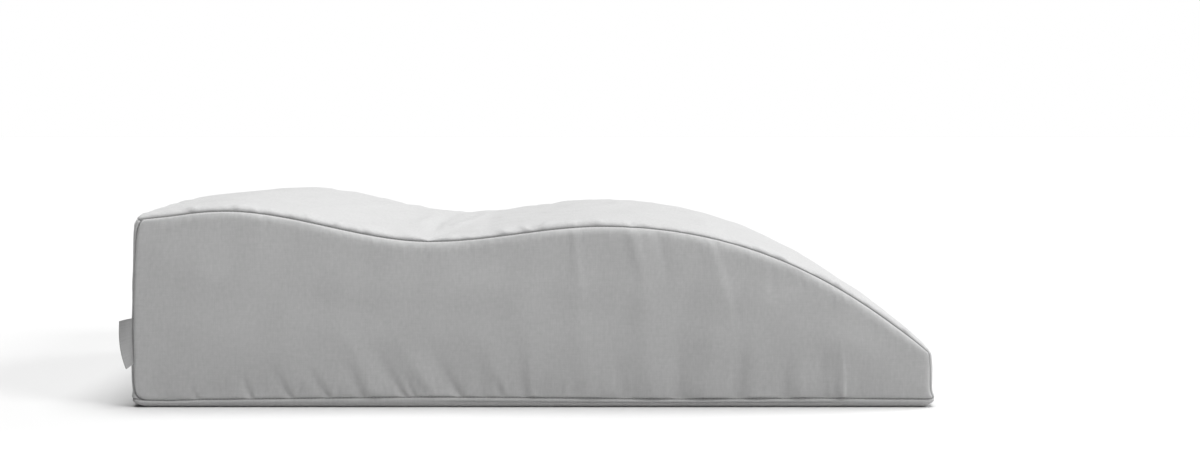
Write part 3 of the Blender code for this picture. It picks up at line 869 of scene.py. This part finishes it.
# One stitch is a ring of points carried along the thread. Its radius goes by the root of a half sine, and its
# rise by a half sine.
ring_share = np.linspace(0.0, 1.0, STITCH_RINGS + 2)[1:-1]
turn = np.arange(STITCH_SIDES) * 2.0 * math.pi / STITCH_SIDES
ring_radius = STITCH_RADIUS * np.sin(math.pi * ring_share)[:, None] ** 0.5
local_along = np.repeat((ring_share - 0.5)[:, None] * STITCH_LENGTH, STITCH_SIDES, axis=1).ravel()
local_across = (ring_radius * np.cos(turn)).ravel()
local_out = (ring_radius * np.sin(turn) + STITCH_RISE * np.sin(math.pi * ring_share)[:, None]).ravel()
local_along = np.concatenate([local_along, [-STITCH_LENGTH / 2, STITCH_LENGTH / 2]])
local_across, local_out = np.append(local_across, [0.0, 0.0]), np.append(local_out, [0.0, 0.0])
stitch_points = (
    stitch_middle[:, None, :]
    + local_along[None, :, None] * stitch_along[:, None, :]
    + local_across[None, :, None] * stitch_across[:, None, :]
    + local_out[None, :, None] * stitch_out[:, None, :]
)
ring = np.arange(STITCH_RINGS * STITCH_SIDES).reshape(STITCH_RINGS, STITCH_SIDES)
ring = np.concatenate([ring, ring[:, :1]], axis=1)
walls = quads(ring, False)
first_pole, last_pole = STITCH_RINGS * STITCH_SIDES, STITCH_RINGS * STITCH_SIDES + 1
caps = [(first_pole, a, b) for a, b in zip(ring[0, 1:], ring[0, :-1])]
caps += [(last_pole, a, b) for a, b in zip(ring[-1, :-1], ring[-1, 1:])]
shape_size = len(local_along)
starts = np.arange(len(stitch_points)) * shape_size
stitch_faces = (walls[None] + starts[:, None, None]).reshape(-1, 4).tolist()
stitch_faces += (np.array(caps)[None] + starts[:, None, None]).reshape(-1, 3).tolist()
stitch_mesh = bpy.data.meshes.new("seam_stitches")
stitch_mesh.from_pydata(stitch_points.reshape(-1, 3).tolist(), [], stitch_faces)
stitch_mesh.shade_smooth()
stitches = bpy.data.objects.new("seam_stitches", stitch_mesh)
bpy.context.scene.collection.objects.link(stitches)

THREAD_GREY = 0.36
FIBRE_SCALE = 2500.0
thread = bpy.data.materials.new("seam_thread")
thread.use_nodes = True
tree = thread.node_tree
thread_shader = tree.nodes["Principled BSDF"]
thread_place = tree.nodes.new("ShaderNodeTexCoord")
fibres = streaks(tree, thread_place.outputs["Object"], FIBRE_SCALE, FIBRE_SCALE, 2.0)
thread_shade = joined(tree, "MULTIPLY_ADD", fibres, 0.30 * THREAD_GREY, 0.85 * THREAD_GREY)
tree.links.new(grey_from(tree, thread_shade), thread_shader.inputs["Base Color"])
thread_shader.inputs["Roughness"].default_value = 0.75
thread_shader.inputs["Sheen Weight"].default_value = 0.10
stitch_mesh.materials.append(thread)

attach(stitches, "root")

# The side label.
# A narrow grey woven ribbon, folded in half with its two ends caught in the upright front seam of the heel
# end. The fold stands out of the seam, turned towards the front at its foot and almost straight out at its
# head.

LABEL_FOOT = 0.0412
LABEL_HEIGHT = 0.0412
LABEL_REACH = 0.0112
LABEL_ROOT_DEPTH = 0.0016
LABEL_TURN_AT_FOOT = math.radians(-75)
LABEL_TURN_AT_HEAD = math.radians(-8)
LABEL_TWIST_POWER = 1.25
LABEL_DROOP_AT_FOOT = 0.0040
LABEL_DROOP_AT_HEAD = 0.0025
LABEL_DROOP_POWER = 1.5
LABEL_CURL = 0.0008
RIBBON_THICKNESS = 0.00040
RIBBON_GAP = 0.00042
RIBBON_PUFF = 0.00030
RIBBON_STEPS = 16
FOLD_STEPS = 10
RIBBON_ROWS = 36

# The folded strip's section: straight out, half round the fold and straight back, first outside, then inside.
straight = LABEL_REACH + LABEL_ROOT_DEPTH - RIBBON_GAP
out_way = np.linspace(0.0, straight, RIBBON_STEPS)
puff = RIBBON_GAP + RIBBON_PUFF * np.sin(math.pi * out_way / straight) ** 2
bend = np.linspace(math.pi / 2, -math.pi / 2, FOLD_STEPS + 2)[1:-1]
strip_way = np.linspace(0.0, 2.0 * straight + math.pi * RIBBON_GAP, 2 * RIBBON_STEPS + FOLD_STEPS)
section_out, section_side = [], []
for half_thickness in (RIBBON_THICKNESS / 2, -RIBBON_THICKNESS / 2):
    fold_radius = RIBBON_GAP + half_thickness
    section_out.append(np.concatenate([out_way, straight + fold_radius * np.cos(bend), out_way[::-1]]))
    section_side.append(
        np.concatenate([puff + half_thickness, fold_radius * np.sin(bend), -puff[::-1] - half_thickness])
    )
section_out, section_side = np.stack(section_out), np.stack(section_side)

up = np.linspace(0.0, 1.0, RIBBON_ROWS)
label_height = LABEL_FOOT + LABEL_HEIGHT * up
label_shift = seam_shift(np.zeros(RIBBON_ROWS), label_height)
label_root = draped(label_shift, np.full(RIBBON_ROWS, -WIDTH / 2), label_height)
label_turn = LABEL_TURN_AT_HEAD + (LABEL_TURN_AT_FOOT - LABEL_TURN_AT_HEAD) * (1.0 - up) ** LABEL_TWIST_POWER
label_droop = LABEL_DROOP_AT_FOOT + (LABEL_DROOP_AT_HEAD - LABEL_DROOP_AT_FOOT) * up
outward = np.stack([-np.cos(label_turn), np.sin(label_turn)], axis=1)
sideways = np.stack([-np.sin(label_turn), -np.cos(label_turn)], axis=1)
# The seam faces halfway between the heel and the front.
seam_way = np.array([-math.sqrt(0.5), -math.sqrt(0.5)])
out_share = np.clip(section_out / (straight + RIBBON_GAP), 0.0, 1.0)
curl = LABEL_CURL * np.sin(math.pi * out_share)
label_points = np.empty((2, section_out.shape[1], RIBBON_ROWS, 3))
label_points[..., :2] = (
    (label_root[:, :2] - LABEL_ROOT_DEPTH * seam_way)[None, None]
    + section_out[..., None, None] * outward
    + (section_side + curl)[..., None, None] * sideways
)
label_points[..., 2] = label_root[:, 2] - label_droop * out_share[..., None] ** LABEL_DROOP_POWER
strip_count = section_out.shape[1]
label_index = np.arange(label_points.size // 3).reshape(2, strip_count, RIBBON_ROWS)
label_faces = np.concatenate(
    [
        quads(label_index[0], False),
        quads(label_index[1], True),
        quads(label_index[:, 0, :], False),
        quads(label_index[:, -1, :], True),
        quads(label_index[:, :, 0], True),
        quads(label_index[:, :, -1], False),
    ]
)
label_mesh = bpy.data.meshes.new("folded_label")
label_mesh.from_pydata(label_points.reshape(-1, 3).tolist(), [], label_faces.tolist())
label_mesh.shade_smooth()
ribbon_uv = np.stack(np.broadcast_arrays(strip_way[None, :, None], label_height[None, None, :]), axis=-1)
ribbon_uv = np.broadcast_to(ribbon_uv, (2, *ribbon_uv.shape[1:])).reshape(-1, 2)
label_uv = label_mesh.uv_layers.new(name="ribbon_metres")
label_uv.data.foreach_set("uv", ribbon_uv[label_faces].reshape(-1))
label = bpy.data.objects.new("folded_label", label_mesh)
bpy.context.scene.collection.objects.link(label)

RIBBON_GREY = 0.26
RIBBON_PITCH = 0.00042
RIBBON_WEAVE_HEIGHT = 0.00006
RIBBON_STREAKS = (60.0, 1600.0, 2.0)
RIBBON_STREAK_SHADE = 0.25
# The shade and the roughness between the ribbon's threads, and what the full height of one adds to each.
RIBBON_GAP_SHADE = 0.80
RIBBON_THREAD_SHADE = 0.25
RIBBON_GAP_ROUGHNESS = 0.75
RIBBON_THREAD_ROUGHNESS = -0.15
ribbon = bpy.data.materials.new("label_ribbon")
ribbon.use_nodes = True
tree = ribbon.node_tree
ribbon_shader = tree.nodes["Principled BSDF"]
ribbon_map = tree.nodes.new("ShaderNodeUVMap")
ribbon_map.uv_map = "ribbon_metres"
ribbon_weave = plain_weave(tree, ribbon_map.outputs["UV"], RIBBON_PITCH)
ribbon_slubs = streaks(tree, ribbon_map.outputs["UV"], *RIBBON_STREAKS)
ribbon_shade = joined(tree, "MULTIPLY_ADD", ribbon_weave, RIBBON_THREAD_SHADE, RIBBON_GAP_SHADE)
ribbon_noise = joined(tree, "SUBTRACT", ribbon_slubs, 0.5)
ribbon_shade = joined(tree, "MULTIPLY_ADD", ribbon_noise, RIBBON_STREAK_SHADE, ribbon_shade)
ribbon_shade = joined(tree, "MULTIPLY", ribbon_shade, RIBBON_GREY)
ribbon_roughness = joined(tree, "MULTIPLY_ADD", ribbon_weave, RIBBON_THREAD_ROUGHNESS, RIBBON_GAP_ROUGHNESS)
tree.links.new(grey_from(tree, ribbon_shade), ribbon_shader.inputs["Base Color"])
tree.links.new(ribbon_roughness, ribbon_shader.inputs["Roughness"])
ribbon_shader.inputs["Sheen Weight"].default_value = 0.15
ribbon_bump = tree.nodes.new("ShaderNodeBump")
ribbon_bump.inputs["Strength"].default_value = 0.5
ribbon_bump.inputs["Distance"].default_value = RIBBON_WEAVE_HEIGHT
tree.links.new(ribbon_weave, ribbon_bump.inputs["Height"])
tree.links.new(ribbon_bump.outputs["Normal"], ribbon_shader.inputs["Normal"])
label_mesh.materials.append(ribbon)

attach(label, "root")
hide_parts("side_label")

# The floor, the light and the camera.
# A plain white floor under soft studio light: a dim even surround, a wide light overhead, a weaker one from
# the right and one from behind. The camera looks at the front side panel from a little above the pillow.

FLOOR_HALF = 30.0
FLOOR_GREY = 0.57
floor_corners = [(-FLOOR_HALF, -FLOOR_HALF, 0.0), (FLOOR_HALF, -FLOOR_HALF, 0.0)]
floor_corners += [(FLOOR_HALF, FLOOR_HALF, 0.0), (-FLOOR_HALF, FLOOR_HALF, 0.0)]
floor_mesh = bpy.data.meshes.new("studio_floor")
floor_mesh.from_pydata(floor_corners, [], [(0, 1, 2, 3)])
floor = bpy.data.objects.new("studio_floor", floor_mesh)
bpy.context.scene.collection.objects.link(floor)
floor_material = bpy.data.materials.new("studio_floor")
floor_material.use_nodes = True
floor_shader = floor_material.node_tree.nodes["Principled BSDF"]
floor_shader.inputs["Base Color"].default_value = (FLOOR_GREY, FLOOR_GREY, FLOOR_GREY, 1.0)
floor_shader.inputs["Roughness"].default_value = 0.9
floor_mesh.materials.append(floor_material)

# The surround lights the pillow dimly, and the backdrop is what the camera sees past the floor.
SURROUND_STRENGTH = 0.06
BACKDROP_STRENGTH = 1.0
world = bpy.data.worlds.new("studio")
world.use_nodes = True
world_nodes, world_links = world.node_tree.nodes, world.node_tree.links
surround = world_nodes["Background"]
surround.inputs["Color"].default_value = (1.0, 1.0, 1.0, 1.0)
surround.inputs["Strength"].default_value = SURROUND_STRENGTH
backdrop = world_nodes.new("ShaderNodeBackground")
backdrop.inputs["Color"].default_value = (1.0, 1.0, 1.0, 1.0)
backdrop.inputs["Strength"].default_value = BACKDROP_STRENGTH
seen_directly = world_nodes.new("ShaderNodeLightPath")
choose = world_nodes.new("ShaderNodeMixShader")
world_links.new(seen_directly.outputs["Is Camera Ray"], choose.inputs["Fac"])
world_links.new(surround.outputs["Background"], choose.inputs[1])
world_links.new(backdrop.outputs["Background"], choose.inputs[2])
world_links.new(choose.outputs["Shader"], world_nodes["World Output"].inputs["Surface"])
bpy.context.scene.world = world

STUDIO_LIGHTS = (
    # name, direction towards the light, strength, width in degrees
    ("overhead_light", (0.10, 0.02, 1.0), 4.6, 46.0),
    ("side_light", (0.80, -0.42, 0.45), 1.55, 24.0),
    ("back_light", (0.72, 0.46, 0.42), 0.9, 24.0),
)
for light_name, towards, strength, light_width in STUDIO_LIGHTS:
    light_data = bpy.data.lights.new(light_name, "SUN")
    light_data.energy = strength
    light_data.angle = math.radians(light_width)
    light = bpy.data.objects.new(light_name, light_data)
    light.rotation_euler = Vector(towards).to_track_quat("Z", "Y").to_euler()
    bpy.context.scene.collection.objects.link(light)

CAMERA_PLACE = (0.0591, -1.725, 0.256)
CAMERA_PITCH = math.radians(3.587)
camera_data = bpy.data.cameras.new("camera")
camera_data.lens = 50.0
camera_data.sensor_width = 36.0
camera = bpy.data.objects.new("camera", camera_data)
camera.location = CAMERA_PLACE
camera.rotation_euler = (math.pi / 2 - CAMERA_PITCH, 0.0, 0.0)
bpy.context.scene.collection.objects.link(camera)
bpy.context.scene.camera = camera
bpy.context.scene.view_settings.view_transform = "Standard"
